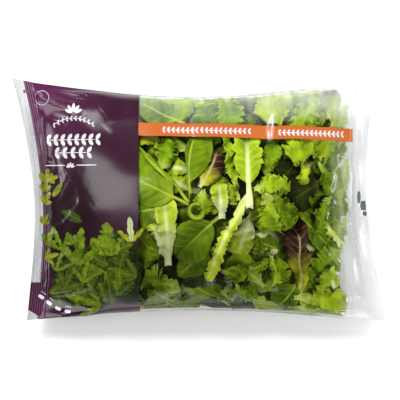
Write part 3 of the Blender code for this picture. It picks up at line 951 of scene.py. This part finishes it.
def finishFilm():
    a, b = np.meshgrid(fineA, fineB, indexing="ij")
    sheets, milkAndSheens = {}, {}
    noiseRng = np.random.default_rng(31)
    along = fineColumns[:, None] + 0 * b
    seal = abs(along) > sealStart + 1e-6
    fromSeal = np.clip((sealStart - abs(along)) * halfLength, 0, None)
    for layers in (front, back):
        face = layers.face
        sheet, normal = films[face], normals[face]
        contact = 1 - np.clip(box(layers.top, 1) / (9 * mm), 0, 1)
        contact = box(box(contact, 2), 2)[layers.cells(a, b)]
        insideHeap = np.clip((a - printed["panelEdge"]) / (20 * mm), 0, 1) * np.clip((heap["right"] - a) / (12 * mm), 0, 1)
        clearOfFold = np.clip((flatHalfWidth - abs(b)) / (34 * mm), 0, 1)
        push = (contact - 0.6) * 1.6 * mm * insideHeap * clearOfFold
        fold = 1 - np.clip((flatHalfWidth - abs(b)) / (10 * mm), 0, 1)
        wrinkle = waveNoise(noiseRng, a * 0.3, b, 17 * mm) * 0.4 * mm * np.exp(-fromSeal / (22 * mm))
        ripple = waveNoise(noiseRng, a, b, 38 * mm) * 0.45 * mm * np.clip((150 * mm - abs(a)) / (30 * mm), 0, 1)
        push = (push + wrinkle + ripple) * (1 - fold) * ~seal
        if face > 0:
            push = push + creaseHeight(sheet, creases) * (1 - fold) * ~seal
        if face < 0:
            push = push + 0.5 * mm * (abs(b) < bag["seamHalfWidth"]) * ~seal
        crimp = np.where(a < 0, 0.14, 0.05) * mm * np.sin((abs(along) - sealStart) * halfLength / (1.9 * mm) * 2 * np.pi) * seal
        gap = 0.15 * mm * np.clip((1 - abs(along)) * halfLength / (1 * mm), 0, 1) * seal
        sheets[face] = sheet + normal * (push + gap)[..., None] + normal * face * crimp[..., None]
        sheets[face][..., 2] = np.maximum(sheets[face][..., 2], 0)
        # milky film along the folds, over the right part and at the empty end: partly the film's own cloudiness, partly
        # a painted reflection of the lamps on the sloping film
        upperFold = 1 - np.clip((flatHalfWidth - b) / (44 * mm), 0, 1)
        lowerFold = 1 - np.clip((flatHalfWidth + b) / (18 * mm), 0, 1)
        rightPart = np.clip((a - 20 * mm) / (110 * mm), 0, 1)
        emptyEnd = np.clip((a - 128 * mm) / (14 * mm), 0, 1)
        streaks = np.clip(0.5 + 0.6 * waveNoise(noiseRng, 2.2 * a, 0.5 * b, 22 * mm), 0, 1)
        hazeAndSheen = (0.43 + 0.46 * rightPart) * upperFold**0.6 * (0.6 + 0.4 * streaks) + 0.4 * lowerFold**1.2
        milkAndSheens[face] = np.clip(hazeAndSheen + (0.08 + 0.22 * streaks) * emptyEnd, 0, 0.75)
        milkAndSheens[face] = np.where(seal, 0.10 + 0.1 * streaks, milkAndSheens[face])
    return sheets, milkAndSheens


sheets, milkAndSheens = finishFilm()
filmPiece = closedPair("bagFilm", sheets[1], sheets[-1])
countA, countB = len(fineA), len(fineB)
a, b = np.meshgrid(fineA, fineB, indexing="ij")
both = lambda frontField, backField: np.concatenate([frontField.ravel(), backField[1:-1, 1:-1].ravel()])
addField(filmPiece, "filmAlong", both(a, a))
addField(filmPiece, "filmAcross", both(b, b))
addField(filmPiece, "filmFront", both(np.ones_like(a), np.zeros_like(a)))
addField(filmPiece, "filmMilkAndSheen", both(milkAndSheens[1], milkAndSheens[-1]))
# painted highlight: the glint lines become a share of plain white on the front film
paintedGlint = np.clip(creaseHeight(films[1], paintedGlintLines) / mm, 0, 0.9)
addField(filmPiece, "filmPaintedGlint", both(paintedGlint, 0 * paintedGlint))


def filmMaterial():
    material, tree, output = newMaterial("printedFilm")
    coords = add(tree, "ShaderNodeTexCoord").outputs["Object"]
    axes = add(tree, "ShaderNodeSeparateXYZ", {0: coords})
    x, y = axes.outputs[0], axes.outputs[1]
    along, frontSide, milkAndSheen = attribute(tree, "filmAlong"), attribute(tree, "filmFront"), attribute(tree, "filmMilkAndSheen")
    soft = 0.25 * mm
    panel = ramp(tree, x, printed["panelEdge"] - soft, printed["panelEdge"] + soft, 1.0, 0.0)
    stripEdge = -flatHalfLength + printed["clearStrip"]
    cornerLine = calc(tree, "ADD", y, calc(tree, "MULTIPLY", calc(tree, "ADD", x, 163.5 * mm), 0.62))
    turned = calc(tree, "MULTIPLY", ramp(tree, y, -77.5 * mm, -76.5 * mm, 1.0, 0.0), ramp(tree, cornerLine, -101.5 * mm, -100.5 * mm))
    inked = calc(tree, "MAXIMUM", ramp(tree, along, stripEdge - soft, stripEdge + soft), turned)
    panel = calc(tree, "MULTIPLY", panel, inked)
    bandPlace = calc(tree, "SUBTRACT", y, calc(tree, "MULTIPLY", calc(tree, "SUBTRACT", x, printed["panelEdge"]), printed["bandSlope"]))
    place = add(tree, "ShaderNodeCombineXYZ", {"X": x}).outputs[0]
    waver = add(tree, "ShaderNodeTexNoise", {"Vector": place, "Scale": 26.0, "Detail": 1.0}).outputs["Fac"]
    bandPlace = calc(tree, "ADD", bandPlace, calc(tree, "MULTIPLY", calc(tree, "SUBTRACT", waver, 0.5), 4 * mm))
    offBand = calc(tree, "ABSOLUTE", calc(tree, "SUBTRACT", bandPlace, printed["bandMiddle"]))
    band = ramp(tree, offBand, printed["bandHalf"] - soft, printed["bandHalf"] + soft, 1.0, 0.0)
    band = calc(tree, "MULTIPLY", band, ramp(tree, x, printed["bandEnd"] - soft, printed["bandEnd"] + soft, 1.0, 0.0))
    band = calc(tree, "MULTIPLY", band, ramp(tree, x, printed["panelEdge"] - soft, printed["panelEdge"] + soft))
    band = calc(tree, "MULTIPLY", band, ramp(tree, frontSide, 0.45, 0.55))
    ink = calc(tree, "ADD", panel, band, clamp=True)
    # painted reflection: the plum turns magenta towards the upper left corner, and less so by the lower left foot,
    # where the crumpled film catches the lamps
    corner = calc(tree, "MULTIPLY", ramp(tree, x, -80 * mm, -150 * mm), ramp(tree, y, 20 * mm, 100 * mm))
    foot = calc(tree, "MULTIPLY", ramp(tree, x, -112 * mm, -146 * mm), ramp(tree, y, -66 * mm, -96 * mm))
    corner = calc(tree, "MAXIMUM", corner, calc(tree, "MULTIPLY", foot, 0.45))
    # painted sheen: the plum is paler towards the top and towards the window, where the lamps' broad reflection lies on
    # the panel
    pale = calc(tree, "MAXIMUM", ramp(tree, y, -12 * mm, 45 * mm), ramp(tree, x, -102 * mm, -78 * mm))
    plum = blendColour(tree, pale, (0.011, 0.0034, 0.0058), (0.024, 0.0060, 0.0155))
    plum = blendColour(tree, corner, plum, (0.068, 0.0125, 0.047))
    # painted highlight: pale lines across the crimped seal, one at each crimp and fading towards the bottom, stand for
    # the glints on the crimps
    fromStrip = calc(tree, "SUBTRACT", along, stripEdge)
    comb = calc(tree, "FRACT", calc(tree, "DIVIDE", fromStrip, 2.2 * mm))
    line = ramp(tree, calc(tree, "ABSOLUTE", calc(tree, "SUBTRACT", comb, 0.5)), 0.08, 0.26, 1.0, 0.0)
    line = calc(tree, "MULTIPLY", line, ramp(tree, fromStrip, 8.6 * mm, 9.2 * mm, 1.0, 0.0))
    line = calc(tree, "MULTIPLY", line, ramp(tree, y, -76 * mm, -60 * mm, 0.3, 1.0))
    plum = blendColour(tree, calc(tree, "MULTIPLY", line, 0.85), plum, (0.22, 0.12, 0.185))
    inkColour = blendColour(tree, band, plum, (0.335, 0.083, 0.017))
    inkShader = add(tree, "ShaderNodeBsdfPrincipled", {"Base Color": inkColour, "Roughness": 0.17})
    stretched = add(tree, "ShaderNodeCombineXYZ", {"X": along, "Y": calc(tree, "MULTIPLY", y, 0.06)}).outputs[0]
    grain = add(tree, "ShaderNodeTexNoise", {"Vector": stretched, "Scale": 420.0, "Detail": 1.0}).outputs["Fac"]
    strip = ramp(tree, along, stripEdge + soft, stripEdge - soft)
    strip = calc(tree, "MULTIPLY", strip, ramp(tree, grain, 0.3, 0.7, 0.55, 1.0))
    strip = calc(tree, "MULTIPLY", strip, ramp(tree, y, -60 * mm, 90 * mm, 1.0, 0.5))
    tint = blendColour(tree, strip, (0.965, 0.967, 0.97), (0.54, 0.543, 0.55))
    clear = add(tree, "ShaderNodeBsdfTransparent", {"Color": tint})
    gloss = add(tree, "ShaderNodeBsdfGlossy", {"Color": (1, 1, 1, 1), "Roughness": 0.09})
    fresnel = add(tree, "ShaderNodeFresnel", {"IOR": 1.36}).outputs[0]
    glassy = add(tree, "ShaderNodeMixShader", {0: fresnel, 1: clear.outputs[0], 2: gloss.outputs[0]})
    matt = add(tree, "ShaderNodeBsdfDiffuse", {"Color": (0.74, 0.75, 0.755, 1)})
    glow = add(tree, "ShaderNodeBsdfTranslucent", {"Color": (0.76, 0.77, 0.775, 1)})
    cloud = add(tree, "ShaderNodeMixShader", {0: 0.5, 1: matt.outputs[0], 2: glow.outputs[0]})
    # the milk share mixes in a white cloud, partly the film's own haze and partly a painted reflection
    film = add(tree, "ShaderNodeMixShader", {0: milkAndSheen, 1: glassy.outputs[0], 2: cloud.outputs[0]})
    whole = add(tree, "ShaderNodeMixShader", {0: ink, 1: film.outputs[0], 2: inkShader.outputs[0]})
    # painted highlight: a white diffuse mixed in along the glint lines
    white = add(tree, "ShaderNodeBsdfDiffuse", {"Color": (0.9, 0.9, 0.9, 1)})
    whole = add(tree, "ShaderNodeMixShader", {0: attribute(tree, "filmPaintedGlint"), 1: whole.outputs[0], 2: white.outputs[0]})
    tree.links.new(whole.outputs[0], output.inputs[0])
    return material


filmPiece.data.materials.append(filmMaterial())
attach(filmPiece, "root")
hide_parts("salad_bag")
print("film", len(filmPiece.data.polygons), "faces")


# what is printed on the film

filmNormals = outwardNormals(sheets[1], 1)
prints = {"pale": [], "leaf": [], "mark": []}


def printPatch(ink, x, y, l, w, edge, tone, lift=0.12 * mm):
    # a thin patch of ink on the front of the film, from a grid of places seen from above
    a, b = placeOnFront(x, y)
    film, normal = sample(sheets[1], a, b), sample(filmNormals, a, b)
    upper = film + normal * lift
    lower = film + normal * 0.02 * mm
    countS, countT = x.shape
    top = np.arange(countS * countT).reshape(countS, countT)
    under = top.copy()
    under[1:-1, 1:-1] = np.arange((countS - 2) * (countT - 2)).reshape(countS - 2, countT - 2) + countS * countT
    points = np.concatenate([upper.reshape(-1, 3), lower[1:-1, 1:-1].reshape(-1, 3)])
    quads = np.stack([top[:-1, :-1], top[1:, :-1], top[1:, 1:], top[:-1, 1:]], axis=-1).reshape(-1, 4)
    quadsUnder = np.stack([under[:-1, :-1], under[:-1, 1:], under[1:, 1:], under[1:, :-1]], axis=-1).reshape(-1, 4)
    both = lambda field: np.concatenate([field.ravel(), field[1:-1, 1:-1].ravel()])
    faces = np.concatenate([quads, quadsUnder])
    prints[ink].append((points, faces, both(l), both(w), both(edge), np.full(len(points), tone)))


def printBlade(ink, base, tip, halfWide, tone, rng, lobes=0, notch=0.0, lift=0.12 * mm, detail=(12, 6), fullness=0.6):
    # a leaf shape, or with no lobes a plain lozenge; base and tip in millimetres
    base, tip = np.array(base) * mm, np.array(tip) * mm
    length = np.linalg.norm(tip - base)
    s, t = np.linspace(0, 1, detail[0])[:, None], np.linspace(-1, 1, detail[1])[None, :]
    profile = (4 * s * (1 - s)) ** fullness
    sides = [unevenEdge(rng, s, lobes, notch, 0) for _ in range(2)]
    wide = halfWide * mm * profile * np.where(t > 0, sides[0], sides[1]) + 0.05 * mm
    heading = math.atan2(*(tip - base)[::-1])
    l, w = s * length + 0 * t, t * wide
    x = base[0] + l * math.cos(heading) - w * math.sin(heading)
    y = base[1] + l * math.sin(heading) + w * math.cos(heading)
    printPatch(ink, x, y, l, w, abs(t) + 0 * s, tone, lift)


def garland(first, last, count, long, wide, arch=0.0, stem=0.35):
    # pairs of small leaves along a thin stem, as an ornament
    first, last = np.array(first, float), np.array(last, float)
    at = lambda place: first * (1 - place) + last * place + np.array([0, arch * 4 * place * (1 - place)])
    for place in np.linspace(0, 1, count):
        start = at(place)
        for turn in (0.95, -0.95):
            reach = long * np.array([math.cos(turn), math.sin(turn)])
            printBlade("pale", start, start + reach, wide / 2, 0, inkRng, fullness=0.75, detail=(9, 5))
    bars = 6 if arch else 1
    for n in range(bars):
        ends = at(n / bars), at((n + 1) / bars)
        printBlade("pale", *ends, stem, 0, inkRng, fullness=0.1, detail=(12, 4))


def printArc(middle, radius, wide, first, run):
    # a thin round line
    turn = np.linspace(first, first + run, 40)[:, None]
    across = np.linspace(-wide / 2, wide / 2, 4)[None, :]
    x, y = (middle[0] + (radius + across) * np.cos(turn)) * mm, (middle[1] + (radius + across) * np.sin(turn)) * mm
    plain = 0 * x
    printPatch("pale", x[:, ::-1], y[:, ::-1], plain, plain, plain, 0)


def sprout(middle, size):
    # five leaves spread like a fan
    for turn in (-1.15, -0.6, 0, 0.6, 1.15):
        reach = size * (1 - 0.12 * abs(turn)) * np.array([math.sin(turn), math.cos(turn)])
        start = np.array(middle) + 0.18 * reach
        printBlade("pale", start, start + reach, 0.17 * size, 0, inkRng, fullness=0.7, detail=(10, 5))


inkRng = np.random.default_rng(77)
# the ornament on the panel, in millimetres from the middle of the bag
sprout((-117, 80), 8.5)
garland((-136, 69.5), (-99, 69.5), 10, 3.0, 1.2, arch=6, stem=0.3)
garland((-142, 55.5), (-95, 55.5), 8, 6.6, 3.4)
garland((-134, 43.5), (-103, 43.5), 5, 6.6, 3.4)
for x in (-134, -104):
    printBlade("pale", (x - 10, 32), (x + 10, 32), 0.45, 0, inkRng, fullness=0.1, detail=(12, 4))
sprout((-119, 29.5), 4.6)
# the ornament on the band
# a ring by the upper corner and a row of plain boxes by the lower one
printArc((-147, 95), 6.6, 0.4, 3.4, 5.6)
for x, y, turn in ((-148.6, -90.6, -0.62), (-141.0, -96.4, -0.6), (-132.4, -101.2, -0.42), (-123.2, -103.8, -0.12)):
    reach = 3.1 * np.array([math.cos(turn), math.sin(turn)])
    printBlade("pale", np.array([x, y]) - reach, np.array([x, y]) + reach, 1.5, 0, inkRng, fullness=0.06, detail=(8, 5))
    rise = 4.4 * np.array([-math.sin(turn), math.cos(turn)])
    printBlade("pale", np.array([x, y]) - reach + rise, np.array([x, y]) + reach + rise, 0.22, 0, inkRng, fullness=0.1, detail=(8, 4))
bandAt = lambda x: printed["bandMiddle"] / mm + (x - printed["panelEdge"] / mm) * printed["bandSlope"]
garland((-34, bandAt(-34)), (44, bandAt(44)), 19, 3.7, 1.7)
garland((72, bandAt(72)), (131, bandAt(131)), 15, 3.7, 1.7)
# small marks by the corners, and dark bars at the end that guide the cutter
garland((136, -92.5), (147, -92.5), 4, 3.4, 1.6)
for line in range(3):
    printBlade("pale", (131, -103.2 - 1.9 * line), (147 - 3 * line, -103.6 - 1.9 * line), 0.3, 0, inkRng, fullness=0.1, detail=(12, 4))
endMarks = ((148.4, 2.6, 1.7, 5.4), (152.6, -5.2, 3.0, 4.4), (154.0, -12.6, 2.2, 2.0))
cornerMarks = ((-163.4, 101.0, 1.0, 1.5), (-160.2, 101.0, 1.2, 1.1), (-156.4, 101.2, 1.6, 1.3))
for x, y, wide, high in endMarks + cornerMarks:
    printBlade("mark", (x - wide, y), (x + wide, y), high, 0, inkRng, fullness=0.03, detail=(8, 5))


# leaves that stand out from the printed heap: base, tip and half width in millimetres, tone, lobes
boldPrint = (
    ((-62, -62), (-70, -33), 10, -1.5, 0),
    ((-58, -95), (-76, -74), 10, -1.9, 0),
    ((-58, -70), (-84, -62), 8, 0.5, 6),
    ((-72, -84), (-104, -58), 11, 0.9, 7),
    ((-100, -92), (-88, -66), 8, -1.0, 5),
    ((-92, -98), (-126, -88), 8, 1.1, 7),
    ((-85, -50), (-85, -20), 15, 1.5, 6),
    ((-72, -44), (-61, -40), 6, 0.7, 5),
    ((-62, -38), (-64, -15), 6, 2.6, 3),
    ((-114, -60), (-108, -25), 10, 1.35, 6),
    ((-116, -40), (-123, -30), 6, 1.5, 5),
    ((-126, -82), (-113, -58), 8, 0.2, 6),
    ((-108, -76), (-102, -50), 6, 1.2, 5),
    ((-108, -20), (-127, -10), 4.6, -0.3, 0),
    ((-127, -46), (-137, -24), 5, 1.2, 5),
    ((-134, -66), (-124, -40), 5, 1.0, 6),
    ((-145, -54), (-131, -50), 5, 2.1, 4),
    ((-143, -42), (-136, -27), 6, 1.7, 5),
    ((-147, -22), (-141, -13), 4, 2.1, 4),
    ((-136, 3), (-127, 16), 2.8, 1.7, 0),
    ((-146, -3), (-138, 7), 5.5, 2.2, 5),
    ((-144, 8), (-143, 20), 6, 2.0, 5),
    ((-146, 17), (-140, 29), 6, 2.3, 5),
    ((-140, 19), (-131, 22), 5, 2.1, 4),
)


def printedHeap():
    # a printed heap of mixed leaves across the foot of the panel, later ones over earlier ones
    layers = ((9, 40, 15.0, -1.8, 0), (14, 34, 9.0, -1.1, 5), (16, 28, 7.5, -0.4, 5), (12, 23, 6.0, 0.2, 6))
    number = 0
    for count, length, halfWide, tone, lobes in layers:
        for n in range(count):
            x = -134 + 74 * (n + inkRng.uniform(0.1, 0.9)) / count
            rise = 22 + 0.45 * (x + 134)
            y = -97 + rise * (inkRng.uniform(0.15, 1.25) if lobes else 0.55)
            heading = inkRng.uniform(0.25, math.pi - 0.25)
            size = inkRng.uniform(0.7, 1.15)
            reach = np.array([math.cos(heading), math.sin(heading)]) * length * size / 2
            middle = np.array([x, y])
            base, tip = middle - reach, middle + reach
            for end in (base, tip):
                end[0], end[1] = np.clip(end[0], -143, -60), max(end[1], -100)
            number += 1
            lift = (0.05 + 0.004 * number) * mm
            wide = halfWide * size * inkRng.uniform(0.8, 1.2)
            mood = tone + inkRng.uniform(-0.5, 0.5)
            printBlade("leaf", base, tip, wide, mood, inkRng, lobes, 0.5 if lobes else 0, lift, (20, 8), 0.5)
    for base, tip, halfWide, tone, lobes in boldPrint:
        # a plain leaf, or three lobed blades from one foot
        base, reach = np.array(base, float), np.array(tip, float) - base
        for turn, size in ((0.8, 0.7), (-0.8, 0.7), (0.0, 1.0)) if lobes else ((0.0, 1.0),):
            number += 1
            lift = (0.05 + 0.003 * number) * mm
            side = np.array([reach[0] * math.cos(turn) - reach[1] * math.sin(turn), reach[0] * math.sin(turn) + reach[1] * math.cos(turn)])
            wide = halfWide * (0.55 * size**0.5 if lobes else 1)
            mood = tone - 0.25 * abs(turn)
            printBlade("leaf", base, base + size * side, wide, mood, inkRng, lobes, 0.6 if lobes else 0, lift, (20, 8), 0.6)


printedHeap()


def printMaterial(name, ink):
    material, tree, output = newMaterial(name)
    if ink == "leaf":
        tone, edge, long, wide = (attribute(tree, field) for field in ("inkTone", "inkEdge", "inkLong", "inkWide"))
        place = add(tree, "ShaderNodeCombineXYZ", {"X": long, "Y": wide, "Z": tone}).outputs[0]
        mottle = add(tree, "ShaderNodeTexNoise", {"Vector": place, "Scale": 150.0, "Detail": 2.0}).outputs["Fac"]
        spread = ramp(tree, mottle, 0.25, 0.75, 0.1, 0.8)
        lightness = calc(tree, "ADD", calc(tree, "MULTIPLY", tone, 0.35), spread, clamp=True)
        colour = blendColour(tree, lightness, (0.004, 0.007, 0.001), (0.050, 0.080, 0.002))
        fresh = blendColour(tree, ramp(tree, mottle, 0.36, 0.64), (0.030, 0.062, 0.001), (0.125, 0.175, 0.004))
        yellow = blendColour(tree, ramp(tree, mottle, 0.36, 0.64), (0.10, 0.115, 0.003), (0.27, 0.27, 0.012))
        colour = blendColour(tree, ramp(tree, tone, 0.6, 1.3), colour, fresh)
        colour = blendColour(tree, ramp(tree, tone, 1.6, 2.1), colour, yellow)
        colour = blendColour(tree, ramp(tree, tone, 2.45, 2.55), colour, (0.30, 0.36, 0.16))
        colour = blendColour(tree, ramp(tree, edge, 0.75, 1.0, 0.0, 0.5), colour, (0.012, 0.022, 0.002))
        away = calc(tree, "ABSOLUTE", wide)
        comb = calc(tree, "FRACT", calc(tree, "DIVIDE", calc(tree, "SUBTRACT", long, away), 4.5 * mm))
        sideRib = ramp(tree, calc(tree, "ABSOLUTE", calc(tree, "SUBTRACT", comb, 0.5)), 0.0, 0.12, 0.35, 0.0)
        rib = calc(tree, "MAXIMUM", sideRib, ramp(tree, away, 0.2 * mm, 0.6 * mm, 0.6, 0.0))
        rib = calc(tree, "MULTIPLY", rib, ramp(tree, tone, -1.6, 0.6, 0.15, 1.0))
        colour = blendColour(tree, rib, colour, (0.115, 0.155, 0.014))
    else:
        coords = add(tree, "ShaderNodeTexCoord").outputs["Object"]
        noise = add(tree, "ShaderNodeTexNoise", {"Vector": coords, "Scale": 200.0}).outputs["Fac"]
        pair = ((0.42, 0.40, 0.42), (0.50, 0.48, 0.50)) if ink == "pale" else ((0.05, 0.058, 0.075), (0.085, 0.095, 0.115))
        colour = blendColour(tree, noise, *pair)
    shader = add(tree, "ShaderNodeBsdfPrincipled", {"Base Color": colour, "Roughness": 0.22})
    tree.links.new(shader.outputs[0], output.inputs[0])
    return material


for ink, name in (("pale", "paleOrnament"), ("leaf", "printedLeaves"), ("mark", "endBars")):
    parts = prints[ink]
    offset = np.cumsum([0] + [len(part[0]) for part in parts[:-1]])
    points = np.concatenate([part[0] for part in parts])
    piece = meshFromArrays(name, points, np.concatenate([part[1] + start for part, start in zip(parts, offset)]))
    piece.data.set_sharp_from_angle(angle=math.radians(50))
    for place, field in ((2, "inkLong"), (3, "inkWide"), (4, "inkEdge"), (5, "inkTone")):
        addField(piece, field, np.concatenate([part[place] for part in parts]))
    piece.data.materials.append(printMaterial(name + "Ink", ink))
    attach(piece, "root")
    print(name, len(parts), "patches")


# floor, lights and camera

studio = {
    "floorSize": 6.0,
    "cameraSpan": 0.3733,  # what the frame takes in, corner to corner of its side
    "lens": 120,
    "roomLight": 0.95,
    "hoodLight": 0.07,  # it is dark round the camera, so that the film shows its contents
}
bpy.ops.mesh.primitive_plane_add(size=studio["floorSize"])
floor = bpy.context.object
floor.name = "floor"
material, tree, output = newMaterial("paleFloor")
coords = add(tree, "ShaderNodeTexCoord").outputs["Object"]
noise = add(tree, "ShaderNodeTexNoise", {"Vector": coords, "Scale": 3.0}).outputs["Fac"]
colour = blendColour(tree, noise, (0.75, 0.75, 0.75), (0.77, 0.77, 0.77))
shader = add(tree, "ShaderNodeBsdfPrincipled", {"Base Color": colour, "Roughness": 0.7})
tree.links.new(shader.outputs[0], output.inputs[0])
floor.data.materials.append(material)

world = bpy.data.worlds.new("studio")
bpy.context.scene.world = world
world.use_nodes = True
sky = world.node_tree
height = add(sky, "ShaderNodeSeparateXYZ", {0: add(sky, "ShaderNodeTexCoord").outputs["Generated"]}).outputs[2]
backdrop = sky.nodes["Background"]
backdrop.inputs[0].default_value = (1, 1, 1, 1)
sky.links.new(ramp(sky, height, 0.10, 0.34, studio["roomLight"], studio["hoodLight"]), backdrop.inputs[1])


def softLight(name, place, aim, width, height, radiance, mirrored=True):
    bpy.ops.object.light_add(type="AREA", location=place)
    light = bpy.context.object
    light.name = name
    light.data.shape = "RECTANGLE"
    light.data.size, light.data.size_y = width, height
    light.data.energy = radiance * math.pi * width * height
    light.rotation_euler = (Vector(aim) - Vector(place)).to_track_quat("-Z", "Y").to_euler()
    light.visible_glossy = mirrored  # an unmirrored light leaves no patch on the film


softLight("overheadLeft", (-1.6, 0.25, 2.5), (0, 0, 0.03), 1.0, 1.7, 4.5)
softLight("key", (-0.7, 1.7, 2.25), (0, 0, 0.04), 0.9, 0.9, 41.0, mirrored=False)
softLight("behind", (0.3, 2.7, 1.1), (0, 0, 0.04), 3.6, 1.0, 4.6, mirrored=False)
softLight("rightSide", (2.4, -1.0, 1.9), (0, 0, 0.03), 1.2, 1.2, 18.0, mirrored=False)
softLight("frontLow", (0.0, -3.0, 1.3), (0, 0, 0.0), 4.0, 0.9, 2.6)
softLight("stripTop", (-1.3, 2.0, 2.0), (0, 0, 0.03), 0.9, 0.10, 24.0)
softLight("stripRight", (3.1, 0.2, 0.8), (0, 0, 0.03), 1.2, 0.16, 14.0)
softLight("stripLeft", (-3.1, 0.4, 0.9), (0, 0, 0.03), 1.2, 0.14, 16.0)

camera = bpy.data.cameras.new("camera")
cameraPiece = bpy.data.objects.new("camera", camera)
bpy.context.scene.collection.objects.link(cameraPiece)
bpy.context.scene.camera = cameraPiece
camera.lens = studio["lens"]
camera.sensor_width = 36
distance = studio["cameraSpan"] * camera.lens / camera.sensor_width
cameraPiece.location = (0, 0, bag["foldHeight"] + distance)
camera.clip_end = 20
bpy.context.scene.view_settings.view_transform = "Standard"
print("camera", round(distance, 3), "m above the folds")

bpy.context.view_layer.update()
